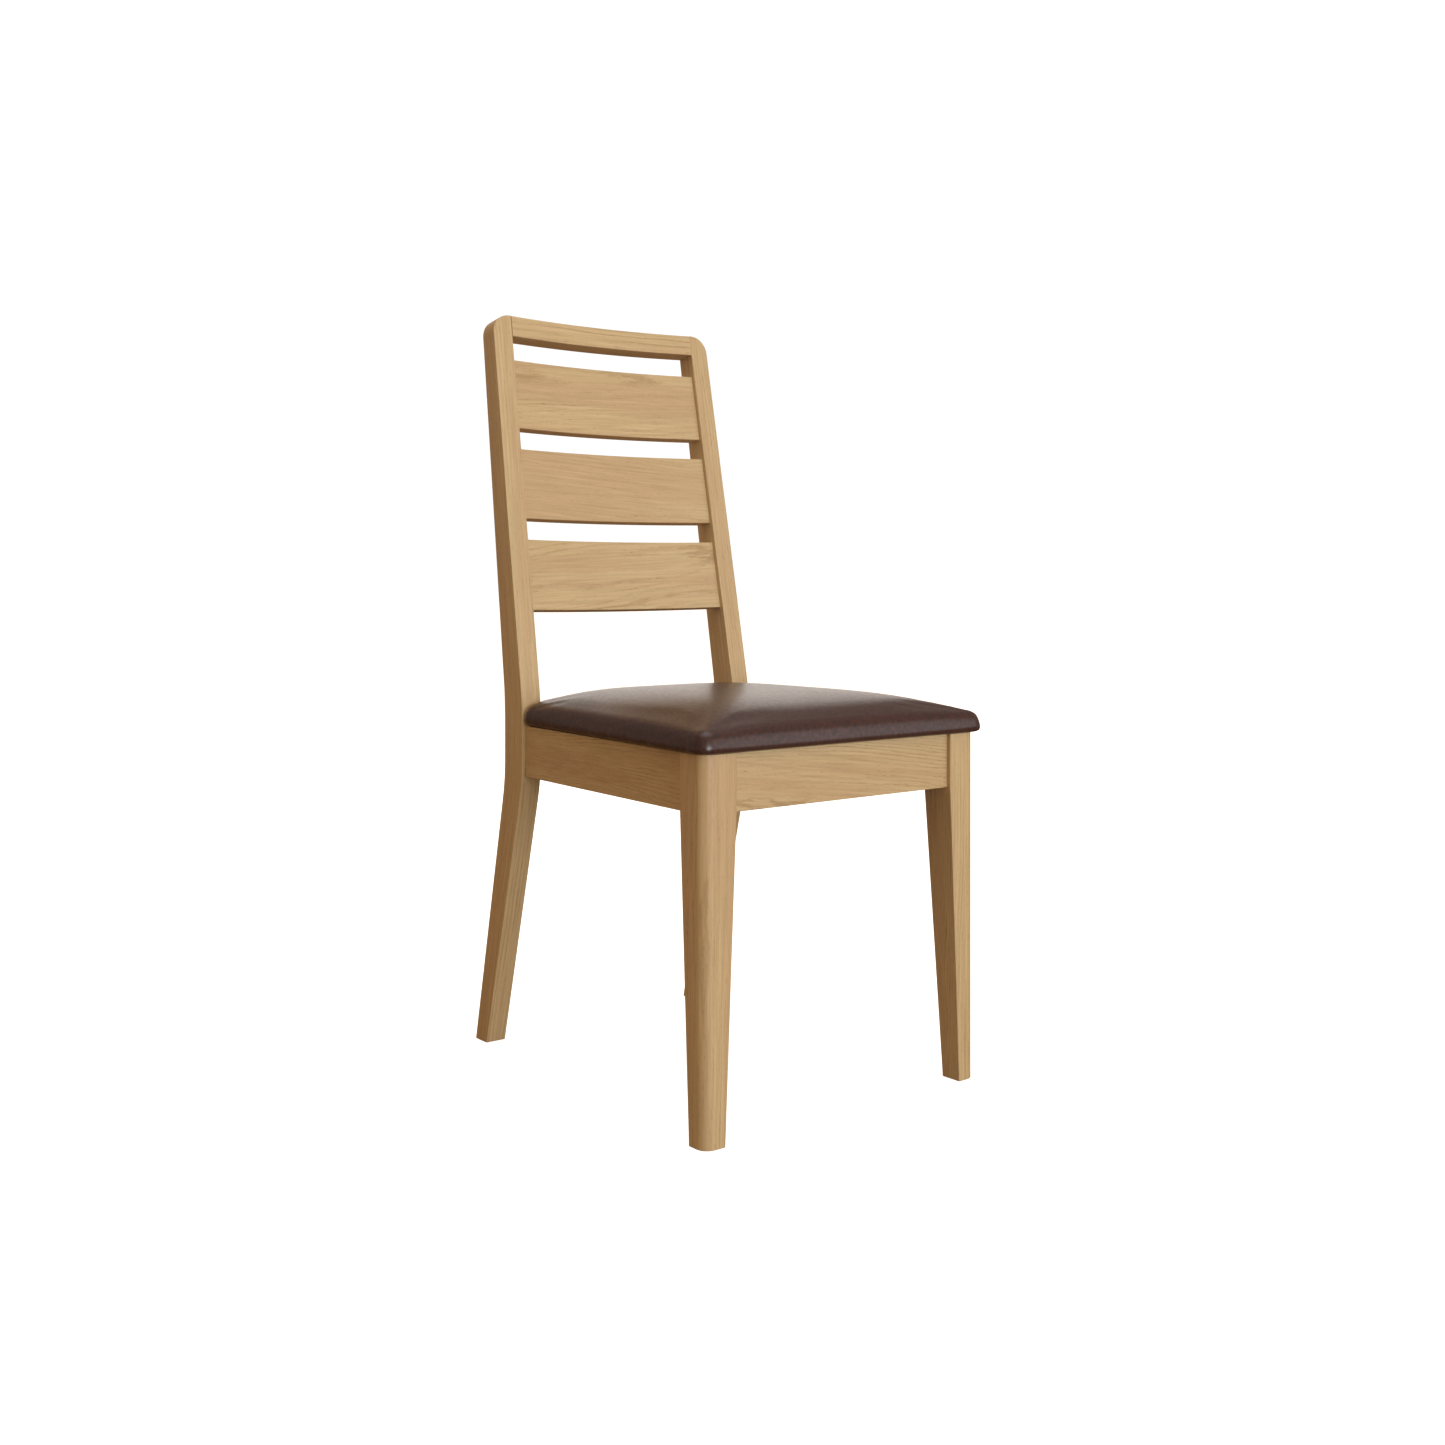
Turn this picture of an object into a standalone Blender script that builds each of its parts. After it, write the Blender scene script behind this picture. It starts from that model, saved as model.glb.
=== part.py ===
"""A dining chair: an oak frame with a raked slatted back, and an upholstered seat screwed to it.

Units are metres, +Z is up, the chair faces -Y, and it is the same on both sides of x = 0.
Depths are measured back from the front face of the front legs. The empty "chair" then moves every piece
so that the origin is on the floor, under the middle of the chair's box.
"""

import math

import bmesh
import bpy
from mathutils import Vector

# Whole chair
HEIGHT = 1.000
GAP = 0.0003  # clearance that touching pieces keep
EASE = 0.0010  # radius that takes the sharpness off each wooden edge
EASE_STEPS = 2
SHARP_ANGLE = math.radians(30)

# Seat frame
FRAME_TOP = 0.4405
APRON_BOTTOM = 0.373
APRON_THICKNESS = 0.020
APRON_SETBACK_FRONT = 0.006
APRON_SETBACK_SIDE = 0.005

# Front legs: square at the aprons, tapered below them on the two inner faces
LEG_OUTER_X = 0.2185
LEG_TOP = (0.0459, 0.0463)
LEG_FOOT = (0.0297, 0.0295)
LEG_CORNER_RADIUS = 0.015
LEG_CORNER_STEPS = 5

# Rear posts: upright beside the seat, raked above it and kicked back below it
POST_WIDTH = 0.0295
POST_OUTER_X = 0.1944
POST_TOP_OUTER_X = 0.1844
POST_FRONT_Y = 0.4258
POST_BACK_Y = 0.4709
POST_BEND_HALF = 0.028  # half the height over which each bend is softened
POST_BEND_STEPS = 8
POST_BEND_REACH = 1.1  # how far past a bend its closer sections go, over its half height
POST_TOP_STEPS = 9
POST_FRONT_LINE = ((0.0, 0.5191), (0.368, POST_FRONT_Y), (0.467, POST_FRONT_Y), (HEIGHT, 0.5199))
POST_BACK_LINE = ((0.0, 0.5487), (0.366, POST_BACK_Y), (0.4725, POST_BACK_Y), (HEIGHT, 0.5501))
POST_OUTER_LINE = ((0.0, POST_OUTER_X), (0.467, POST_OUTER_X), (HEIGHT, POST_TOP_OUTER_X))
POST_TOP_RADIUS = 0.0245
FOOT_CHAMFER = 0.0006

# Back rest
SLAT_THICKNESS = 0.020
SLAT_SETBACK = 0.006
SLAT_BOW = 0.0092
SLAT_HEIGHT = 0.0973
SLAT_PITCH = 0.1246
UPPER_SLAT_TOP = 0.9384
SLAT_NAMES = ("upper_slat", "middle_slat", "lower_slat")
RAIL_HEIGHT = 0.0294
RAIL_THICKNESS = 0.0295
RAIL_BOW = 0.0095
BOW_STEPS = 16

# Joints
TENON_LENGTH = 0.016
TENON_THICKNESS = 0.008
TENON_SHOULDER = 0.009  # how much lower a tenon is than its board, at the top and at the bottom
MORTISE_START = 0.97  # a board's place where the cutter for its mortise starts, short of the shoulder
DOWEL_RADIUS = 0.003
DOWEL_LENGTH = 0.030
DOWEL_SPACING = 0.013

# Corner blocks, as distances out from the corner between two aprons' inner faces
BLOCK_BOTTOM = 0.402
BLOCK_INNER = 0.044
BLOCK_OUTER = 0.070
BLOCK_EDGE = 0.012
BLOCK_SCREW_AT = 0.059
SEAT_SCREW_AT = 0.0315
COUNTERBORE_FLOOR = 0.013
COUNTERBORE_REACH = 0.020

# Screws
SCREW_RADIUS = 0.002
SCREW_TIP = 0.005
SCREW_TIP_RADIUS = 0.0004
HEAD_RADIUS = 0.004
HEAD_TOP_RADIUS = 0.0028
HEAD_HEIGHT = 0.0028
HEAD_EDGE_HEIGHT = 0.0014
COUNTERBORE_RADIUS = 0.005
SOCKET_RADIUS = 0.0017
SOCKET_DEPTH = 0.0016
BLOCK_SCREW_LENGTH = 0.028
SEAT_SCREW_LENGTH = 0.048

# Seat pad
PAD_FRONT = -0.0100
PAD_FRONT_HALF = 0.2300
PAD_SIDE_END = 0.4245
PAD_REAR_HALF = 0.1942
PAD_TONGUE_HALF = 0.1625
PAD_REAR = 0.4640
PAD_BOTTOM = FRAME_TOP + GAP
PAD_WIDEST = 0.4510
PAD_SHOULDER = 0.4700
PAD_CROWN = 0.4975
PAD_CROWN_POWER = 2.4
PAD_RADII = (0.020, 0.020, 0.010, 0.003, 0.010, 0.010, 0.003, 0.010)
PAD_SMALL_RADIUS = 0.003
PAD_TUCK = 0.007  # how far the cover draws in below its widest line
PAD_ROLL = 0.018  # how far the rounded upper edge reaches in
PAD_CORNER_STEPS = 4
PAD_CENTRE = (0.0, 0.225)
PAD_SIDE_ANGLES = (-90, -60, -30, 0, 20, 40, 60, 75, 90)  # degrees up from the widest line
PAD_CROWN_SCALES = (0.85, 0.65, 0.45, 0.25, 0.08)
COVER_THICKNESS = 0.0012
HEM_WIDTH = 0.050
BOARD_INSET = 0.010
BOARD_THICKNESS = 0.012
DUST_COVER_THICKNESS = 0.0006
DUST_COVER_CLEARANCE = 0.003
DUST_COVER_CORNER = 0.095

SIDES = (("left", -1), ("right", 1))
ENDS = ("front", "rear")


def clear_scene():
    for item in list(bpy.data.objects):
        bpy.data.objects.remove(item)


def make_material(name, colour, roughness, metallic=0.0):
    material = bpy.data.materials.new(name)
    material.use_nodes = True
    shader = material.node_tree.nodes["Principled BSDF"]
    shader.inputs["Base Color"].default_value = (*colour, 1.0)
    shader.inputs["Roughness"].default_value = roughness
    shader.inputs["Metallic"].default_value = metallic
    return material


def make_chair_empty():
    """Moves the pieces so that the origin is midway between the pad's front and the top rail's back."""
    _, furthest_back, _ = RAIL_POINT(0.0, RAIL_THICKNESS / 2, RAIL_HEIGHT / 2 - EASE)
    chair = bpy.data.objects.new("chair", None)
    chair.location = (0.0, -(PAD_FRONT + furthest_back) / 2, 0.0)
    bpy.context.scene.collection.objects.link(chair)
    return chair


# Shapes


def loft(name, rings, material):
    """A closed solid through rings of as many points each, with a flat cap on the first and the last."""
    shape = bmesh.new()
    loops = [[shape.verts.new(point) for point in ring] for ring in rings]
    for lower, upper in zip(loops, loops[1:]):
        for i, start in enumerate(lower):
            following = (i + 1) % len(lower)
            shape.faces.new((start, lower[following], upper[following], upper[i]))
    shape.faces.new(loops[0])
    shape.faces.new(loops[-1])
    bmesh.ops.recalc_face_normals(shape, faces=shape.faces)
    mesh = bpy.data.meshes.new(name)
    shape.to_mesh(mesh)
    shape.free()
    mesh.shade_smooth()
    mesh.set_sharp_from_angle(angle=SHARP_ANGLE)
    mesh.materials.append(material)
    piece = bpy.data.objects.new(name, mesh)
    piece.parent = CHAIR
    bpy.context.scene.collection.objects.link(piece)
    return piece


def rounded(corners, radii, steps):
    """The outline of a polygon whose corners are arcs of `steps` pieces. A radius may differ per corner."""
    outline = []
    for i, corner in enumerate(corners):
        here = Vector(corner)
        back = (Vector(corners[i - 1]) - here).normalized()
        ahead = (Vector(corners[(i + 1) % len(corners)]) - here).normalized()
        half_angle = back.angle(ahead) / 2
        centre = here + (back + ahead).normalized() * radii[i] / math.sin(half_angle)
        reach = radii[i] / math.tan(half_angle)
        start = here + back * reach - centre
        end = here + ahead * reach - centre
        turn = start.angle(end)
        for step in range(steps + 1):
            share = step / steps
            mixed = start * math.sin((1 - share) * turn) + end * math.sin(share * turn)
            outline.append(centre + mixed / math.sin(turn))
    return outline


def rectangle(width, height, ease=EASE):
    """The outline of an eased rectangle about its own middle."""
    x = width / 2
    y = height / 2
    return rounded(((-x, -y), (x, -y), (x, y), (-x, y)), (ease,) * 4, EASE_STEPS)


def inset(corners, distance):
    """The corners of an anticlockwise polygon, each edge moved inwards by the distance."""
    moved = []
    for i, corner in enumerate(corners):
        here = Vector(corner)
        before = (here - Vector(corners[i - 1])).normalized()
        after = (Vector(corners[(i + 1) % len(corners)]) - here).normalized()
        inward = Vector((-before.y, before.x)) + Vector((-after.y, after.x))
        moved.append(here + inward * distance / (1 + before.dot(after)))
    return moved


def turned(name, base, axis, profile, material, sides=12, facets=()):
    """A turned piece: circles of the profile's (distance along the axis, radius) pairs.

    The rings numbered in `facets` are hexagons, which makes a socket for a hexagonal key.
    """
    axis = Vector(axis)
    across = axis.orthogonal().normalized()
    up = axis.cross(across)
    rings = []
    for number, (along, radius) in enumerate(profile):
        ring = []
        for i in range(sides):
            angle = math.tau * i / sides
            reach = radius
            if number in facets:
                reach = radius * math.cos(math.pi / 6) / math.cos(angle % (math.pi / 3) - math.pi / 6)
            spoke = across * math.cos(angle) + up * math.sin(angle)
            ring.append(Vector(base) + axis * along + spoke * reach)
        rings.append(ring)
    return loft(name, rings, material)


def cut(piece, *cutters):
    """Cuts each cutter out of the piece, and keeps the cutters out of the model."""
    for cutter in cutters:
        cutter.hide_render = True
        cutter.display_type = "WIRE"
        step = piece.modifiers.new(cutter.name, "BOOLEAN")
        step.operation = "DIFFERENCE"
        step.object = cutter


def softened(line, height):
    """The value at a height of a line through (height, value) knots, with its bends blended by parabolas."""
    value = line[0][1]
    slopes = [(b[1] - a[1]) / (b[0] - a[0]) for a, b in zip(line, line[1:])]
    value += slopes[0] * height
    for knot, before, after in zip(line[1:], slopes, slopes[1:]):
        past = height - (knot[0] - POST_BEND_HALF)
        blend = 2 * POST_BEND_HALF
        if past > blend:
            value += (after - before) * (past - POST_BEND_HALF)
        elif past > 0:
            value += (after - before) * past**2 / (2 * blend)
    return value


# Boards with a tenon at each end. A board's own place runs from -1 to 1 between its shoulders, and from
# there to -2 and 2 at the ends of its tenons.


def reach(place, half_length):
    body = min(abs(place), 1.0) * half_length
    tenon = max(abs(place) - 1.0, 0.0) * TENON_LENGTH
    return math.copysign(body + tenon, place)


def tenoned_board(name, point_at, thickness, height, steps):
    body = rectangle(thickness, height)
    tenon = rectangle(TENON_THICKNESS, height - 2 * TENON_SHOULDER)
    sections = [(-2, tenon), (-1, tenon)]
    sections += [(2 * i / steps - 1, body) for i in range(steps + 1)]
    sections += [(1, tenon), (2, tenon)]
    rings = [[point_at(place, *point) for point in outline] for place, outline in sections]
    return loft(name, rings, OAK)


def mortise(name, point_at, height, side):
    """The hollow for the tenon on that side: the tenon's own shape, larger by the gap."""
    outline = rectangle(TENON_THICKNESS + 2 * GAP, height - 2 * TENON_SHOULDER + 2 * GAP, EASE + GAP)
    places = (MORTISE_START * side, side, (2 + GAP / TENON_LENGTH) * side)
    rings = [[point_at(place, *point) for point in outline] for place in places]
    return loft(name, rings, OAK)


APRON_HEIGHT = FRAME_TOP - APRON_BOTTOM
APRON_MIDDLE = (FRAME_TOP + APRON_BOTTOM) / 2
FRONT_APRON_MIDDLE = APRON_SETBACK_FRONT + APRON_THICKNESS / 2
REAR_APRON_MIDDLE = (POST_FRONT_Y + POST_BACK_Y) / 2
SIDE_APRON_HALF = (POST_FRONT_Y - LEG_TOP[1]) / 2 - GAP
SIDE_APRON_CENTRE = (POST_FRONT_Y + LEG_TOP[1]) / 2


def front_apron_point(place, out, up):
    half_length = LEG_OUTER_X - LEG_TOP[0] - GAP
    return (reach(place, half_length), FRONT_APRON_MIDDLE + out, APRON_MIDDLE + up)


def rear_apron_point(place, out, up):
    half_length = POST_OUTER_X - POST_WIDTH - GAP
    return (reach(place, half_length), REAR_APRON_MIDDLE + out, APRON_MIDDLE + up)


def side_apron_outer(depth):
    """The outer face of a side apron, which runs in from the leg to the post."""
    front = LEG_OUTER_X - APRON_SETBACK_SIDE
    rear = POST_OUTER_X - APRON_SETBACK_SIDE
    share = (depth - LEG_TOP[1]) / (POST_FRONT_Y - LEG_TOP[1])
    return front + (rear - front) * share


def side_apron_point(side):
    def point_at(place, out, up):
        depth = SIDE_APRON_CENTRE + reach(place, SIDE_APRON_HALF)
        middle = side_apron_outer(depth) - APRON_THICKNESS / 2
        return (side * (middle + out), depth, APRON_MIDDLE + up)

    return point_at


def post_inner(height):
    return softened(POST_OUTER_LINE, height) - POST_WIDTH


def post_rake():
    (low, low_depth), (high, high_depth) = POST_FRONT_LINE[-2:]
    return math.atan2(high_depth - low_depth, high - low)


def back_point(top, board_height, thickness, setback, bow):
    """Where a slat or the top rail is: its front face leans with the posts, and bows back between them."""
    rake = post_rake()
    middle = top - board_height / 2 * math.cos(rake)
    face = softened(POST_FRONT_LINE, middle) + setback / math.cos(rake)

    def point_at(place, out, up):
        back = thickness / 2 + out + bow * max(1 - place**2, 0.0)
        height = middle + up * math.cos(rake) - back * math.sin(rake)
        depth = face + up * math.sin(rake) + back * math.cos(rake)
        return (reach(place, post_inner(height) - GAP), depth, height)

    return point_at


# Wooden pieces


def make_front_leg(name, side):
    def ring(height, narrowed=0.0):
        share = min(height / APRON_BOTTOM, 1.0)
        width = LEG_FOOT[0] + (LEG_TOP[0] - LEG_FOOT[0]) * share
        depth = LEG_FOOT[1] + (LEG_TOP[1] - LEG_FOOT[1]) * share
        outer = LEG_OUTER_X
        corners = [(outer, 0.0), (outer, depth), (outer - width, depth), (outer - width, 0.0)]
        radii = (LEG_CORNER_RADIUS, EASE, EASE, EASE)
        outline = rounded(inset(corners, narrowed), radii, LEG_CORNER_STEPS)
        return [(side * x, y, height) for x, y in outline]

    heights = (FOOT_CHAMFER, APRON_BOTTOM, FRAME_TOP)
    return loft(name, [ring(0.0, FOOT_CHAMFER)] + [ring(height) for height in heights], OAK)


def post_heights():
    """Closer together in the two bends and round the top corner, where the post curves."""
    heights = [0.0, FOOT_CHAMFER]
    for knot, _ in POST_FRONT_LINE[1:3]:
        reach_each_way = POST_BEND_HALF * POST_BEND_REACH
        for i in range(POST_BEND_STEPS + 1):
            heights.append(knot + reach_each_way * (2 * i / POST_BEND_STEPS - 1))
    for i in range(POST_TOP_STEPS + 1):
        turn = math.pi / 2 * i / POST_TOP_STEPS
        heights.append(HEIGHT - POST_TOP_RADIUS * (1 - math.sin(turn)))
    return heights


def make_rear_post(name, side):
    """Its sections are level up to the seat, and square to the leaning front face above it."""

    def ring(height):
        narrowed = FOOT_CHAMFER if height == 0.0 else 0.0
        outer = softened(POST_OUTER_LINE, height)
        inner = outer - POST_WIDTH
        above = min(max(height - (HEIGHT - POST_TOP_RADIUS), 0.0), POST_TOP_RADIUS)
        outer -= POST_TOP_RADIUS - math.sqrt(POST_TOP_RADIUS**2 - above**2)
        front = softened(POST_FRONT_LINE, height)
        lean = max((softened(POST_FRONT_LINE, height + EASE) - front) / EASE, 0.0)
        back_drop = (softened(POST_BACK_LINE, height) - front) * lean
        back = softened(POST_BACK_LINE, height - back_drop)
        corners = [(inner, front), (outer, front), (outer, back), (inner, back)]
        outline = rounded(inset(corners, narrowed), (EASE,) * 4, EASE_STEPS)
        return [(side * x, y, height - (y - front) * lean) for x, y in outline]

    return loft(name, [ring(height) for height in post_heights()], OAK)


def make_top_rail(point_at):
    outline = rectangle(RAIL_THICKNESS, RAIL_HEIGHT)
    places = [2 * i / BOW_STEPS - 1 for i in range(BOW_STEPS + 1)]
    return loft("top_rail", [[point_at(place, *point) for point in outline] for place in places], OAK)


def dowel_top_rail(rail, point_at, posts):
    """Two dowels at each end of the top rail, with their holes in the rail and the post."""
    for side_name, side in SIDES:
        for row_name, row in (("lower", -0.5), ("upper", 0.5)):
            shoulder, depth, height = point_at(side, 0.0, row * DOWEL_SPACING)
            start = (shoulder - side * DOWEL_LENGTH / 2, depth, height)
            name = f"rail_dowel_{side_name}_{row_name}"
            shaft = ((0.0, DOWEL_RADIUS), (DOWEL_LENGTH, DOWEL_RADIUS))
            turned(name, start, (side, 0, 0), shaft, BEECH)
            hole_radius = DOWEL_RADIUS + GAP
            hole = ((-GAP, hole_radius), (DOWEL_LENGTH + GAP, hole_radius))
            cutter = turned(f"{name}_hole", start, (side, 0, 0), hole, BEECH)
            cut(rail, cutter)
            cut(posts[side_name], cutter)


def make_slat(name, top, posts):
    point_at = back_point(top, SLAT_HEIGHT, SLAT_THICKNESS, SLAT_SETBACK, SLAT_BOW)
    tenoned_board(name, point_at, SLAT_THICKNESS, SLAT_HEIGHT, BOW_STEPS)
    for side_name, side in SIDES:
        cut(posts[side_name], mortise(f"{name}_mortise_{side_name}", point_at, SLAT_HEIGHT, side))


def make_aprons(legs, posts):
    """The four aprons round the seat, with their mortises in the legs and the posts."""
    aprons = {}
    aprons["front"] = tenoned_board("front_apron", front_apron_point, APRON_THICKNESS, APRON_HEIGHT, 1)
    aprons["rear"] = tenoned_board("rear_apron", rear_apron_point, APRON_THICKNESS, APRON_HEIGHT, 1)
    for name, side in SIDES:
        point_at = side_apron_point(side)
        aprons[name] = tenoned_board(f"{name}_apron", point_at, APRON_THICKNESS, APRON_HEIGHT, 1)
        cut(legs[name], mortise(f"front_apron_mortise_{name}", front_apron_point, APRON_HEIGHT, side))
        cut(legs[name], mortise(f"{name}_apron_mortise_front", point_at, APRON_HEIGHT, -1))
        cut(posts[name], mortise(f"rear_apron_mortise_{name}", rear_apron_point, APRON_HEIGHT, side))
        cut(posts[name], mortise(f"{name}_apron_mortise_rear", point_at, APRON_HEIGHT, 1))
    return aprons


# Corner blocks and screws. In each corner, a point is given by how far it is from the side apron's inner
# face and from the front or rear apron's inner face.


def corner_point(side, end, from_side, from_end):
    if end == "front":
        depth = FRONT_APRON_MIDDLE + APRON_THICKNESS / 2 + from_end
    else:
        depth = REAR_APRON_MIDDLE - APRON_THICKNESS / 2 - from_end
    return (side * (side_apron_outer(depth) - APRON_THICKNESS - from_side), depth)


def make_corner_block(name, side, end):
    plan = (
        (BLOCK_INNER, GAP),
        (BLOCK_OUTER, GAP),
        (BLOCK_OUTER, BLOCK_EDGE),
        (BLOCK_EDGE, BLOCK_OUTER),
        (GAP, BLOCK_OUTER),
        (GAP, BLOCK_INNER),
    )
    outline = [corner_point(side, end, *point) for point in plan]
    rings = [[(*point, height) for point in outline] for height in (BLOCK_BOTTOM, FRAME_TOP)]
    return loft(name, rings, BEECH)


def make_screw(name, head_seat, direction, length, pieces):
    """A pan head screw with a hexagonal socket, and its counterbored hole in the pieces it goes through."""
    profile = (
        (SOCKET_DEPTH - HEAD_HEIGHT, SOCKET_RADIUS),
        (-HEAD_HEIGHT, SOCKET_RADIUS),
        (-HEAD_HEIGHT, HEAD_TOP_RADIUS),
        (-HEAD_EDGE_HEIGHT, HEAD_RADIUS),
        (-GAP, HEAD_RADIUS),
        (-GAP, SCREW_RADIUS),
        (length - SCREW_TIP, SCREW_RADIUS),
        (length, SCREW_TIP_RADIUS),
    )
    turned(name, head_seat, direction, profile, STEEL, facets=(0, 1))
    hole = (
        (-COUNTERBORE_REACH, COUNTERBORE_RADIUS),
        (0.0, COUNTERBORE_RADIUS),
        (0.0, SCREW_RADIUS + GAP),
        (length + GAP, SCREW_RADIUS + GAP),
    )
    cutter = turned(f"{name}_hole", head_seat, direction, hole, STEEL)
    for piece in pieces:
        cut(piece, cutter)


def make_corners(aprons, seat_board, seat_cover):
    """A screwed block in each corner of the seat frame, and the screw up through it into the seat."""
    screw_height = (BLOCK_BOTTOM + FRAME_TOP) / 2
    for side_name, side in SIDES:
        for end in ENDS:
            corner = f"{end}_{side_name}"
            block = make_corner_block(f"corner_block_{corner}", side, end)
            across = corner_point(side, end, BLOCK_SCREW_AT, COUNTERBORE_FLOOR)
            outward = (0, -1 if end == "front" else 1, 0)
            name = f"block_screw_{corner}_{end}"
            make_screw(name, (*across, screw_height), outward, BLOCK_SCREW_LENGTH, (block, aprons[end]))
            along = corner_point(side, end, COUNTERBORE_FLOOR, BLOCK_SCREW_AT)
            pieces = (block, aprons[side_name])
            name = f"block_screw_{corner}_side"
            make_screw(name, (*along, screw_height), (side, 0, 0), BLOCK_SCREW_LENGTH, pieces)
            under = corner_point(side, end, SEAT_SCREW_AT, SEAT_SCREW_AT)
            head_seat = (*under, BLOCK_BOTTOM + HEAD_HEIGHT)
            pieces = (block, seat_board, seat_cover)
            make_screw(f"seat_screw_{corner}", head_seat, (0, 0, 1), SEAT_SCREW_LENGTH, pieces)


# Seat pad: a trapezoid with a tongue that reaches back between the rear posts


def pad_ring(distance, height, scale=1.0):
    """The pad's outline in from its widest line by a distance, then scaled about the middle of the seat."""
    corners = (
        (-PAD_FRONT_HALF, PAD_FRONT),
        (PAD_FRONT_HALF, PAD_FRONT),
        (PAD_REAR_HALF, PAD_SIDE_END),
        (PAD_TONGUE_HALF, PAD_SIDE_END),
        (PAD_TONGUE_HALF, PAD_REAR),
        (-PAD_TONGUE_HALF, PAD_REAR),
        (-PAD_TONGUE_HALF, PAD_SIDE_END),
        (-PAD_REAR_HALF, PAD_SIDE_END),
    )
    radii = [max(radius - distance, PAD_SMALL_RADIUS) for radius in PAD_RADII]
    centre = Vector(PAD_CENTRE)
    outline = rounded(inset(corners, distance), radii, PAD_CORNER_STEPS)
    return [(*(centre + (point - centre) * scale), height) for point in outline]


def pad_side(shrink):
    """(distance in, height) pairs up the pad's rounded side, `shrink` inside its outer surface."""
    under = PAD_WIDEST - PAD_BOTTOM - shrink
    over = PAD_SHOULDER - PAD_WIDEST - shrink
    pairs = []
    for angle in PAD_SIDE_ANGLES:
        turn = math.radians(angle)
        inwards = PAD_TUCK if angle < 0 else PAD_ROLL
        rise = under if angle < 0 else over
        pairs.append((shrink + inwards * (1 - math.cos(turn)), PAD_WIDEST + rise * math.sin(turn)))
    return pairs


def pad_crown(shrink):
    """Rings over the pad's crowned top, from its rounded edge to near its middle."""
    rings = []
    for scale in PAD_CROWN_SCALES:
        height = PAD_SHOULDER + (PAD_CROWN - PAD_SHOULDER) * (1 - scale**PAD_CROWN_POWER) - shrink
        rings.append(pad_ring(shrink + PAD_ROLL, height, scale))
    return rings


def pad_outside(shrink):
    return [pad_ring(*pair) for pair in pad_side(shrink)] + pad_crown(shrink)


def make_seat_cover():
    """The covering goes over the pad, down its sides and in under it as a hem, open in the middle below."""
    outside = pad_outside(0.0)
    hem = [pad_ring(HEM_WIDTH, PAD_BOTTOM), pad_ring(HEM_WIDTH, PAD_BOTTOM + COVER_THICKNESS)]
    return loft("seat_cover", outside[::-1] + hem + pad_outside(COVER_THICKNESS), LEATHER)


def make_seat_board():
    bottom = PAD_BOTTOM + COVER_THICKNESS + GAP
    rings = [pad_ring(BOARD_INSET, height) for height in (bottom, bottom + BOARD_THICKNESS)]
    return loft("seat_board", rings, PLYWOOD)


def make_seat_foam():
    """The padding lies on the board and fills the cover above it."""
    shrink = COVER_THICKNESS + GAP
    bottom = PAD_BOTTOM + COVER_THICKNESS + BOARD_THICKNESS + 2 * GAP
    side = [pair for pair in pad_side(shrink) if pair[1] > bottom]
    rings = [pad_ring(side[0][0], bottom)] + [pad_ring(*pair) for pair in side]
    return loft("seat_foam", rings + pad_crown(shrink), FOAM)


def make_dust_cover():
    """A thin cloth over the hem's opening, cut off across its corners to clear the blocks."""
    near_end = (DUST_COVER_CORNER, DUST_COVER_CLEARANCE)
    near_side = (DUST_COVER_CLEARANCE, DUST_COVER_CORNER)
    outline = [
        corner_point(-1, "front", *near_side),
        corner_point(-1, "front", *near_end),
        corner_point(1, "front", *near_end),
        corner_point(1, "front", *near_side),
        corner_point(1, "rear", *near_side),
        corner_point(1, "rear", *near_end),
        corner_point(-1, "rear", *near_end),
        corner_point(-1, "rear", *near_side),
    ]
    top = PAD_BOTTOM - GAP
    rings = [[(*point, height) for point in outline] for height in (top - DUST_COVER_THICKNESS, top)]
    return loft("dust_cover", rings, CLOTH)


clear_scene()
RAIL_POINT = back_point(HEIGHT, RAIL_HEIGHT, RAIL_THICKNESS, 0.0, RAIL_BOW)
CHAIR = make_chair_empty()
OAK = make_material("oak", (0.55, 0.36, 0.19), 0.45)
BEECH = make_material("beech", (0.62, 0.43, 0.26), 0.6)
PLYWOOD = make_material("plywood", (0.60, 0.45, 0.28), 0.7)
LEATHER = make_material("leather", (0.065, 0.035, 0.027), 0.42)
FOAM = make_material("foam", (0.75, 0.70, 0.55), 0.9)
CLOTH = make_material("dust_cloth", (0.02, 0.02, 0.02), 0.9)
STEEL = make_material("steel", (0.55, 0.55, 0.57), 0.35, 1.0)

front_legs = {name: make_front_leg(f"front_leg_{name}", side) for name, side in SIDES}
rear_posts = {name: make_rear_post(f"rear_post_{name}", side) for name, side in SIDES}
dowel_top_rail(make_top_rail(RAIL_POINT), RAIL_POINT, rear_posts)
for number, slat_name in enumerate(SLAT_NAMES):
    make_slat(slat_name, UPPER_SLAT_TOP - number * SLAT_PITCH, rear_posts)
seat_frame = make_aprons(front_legs, rear_posts)
make_corners(seat_frame, make_seat_board(), make_seat_cover())
make_seat_foam()
make_dust_cover()
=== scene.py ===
"""A dining chair in oiled oak with an upholstered seat, dressed for a studio picture.

Units are metres, +Z is up and the chair faces -Y. Wood, metal and the seat board keep the shapes of the
frame that is loaded; the seat cushion and the dust cloth under it are soft pieces made here.
"""

import math

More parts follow.
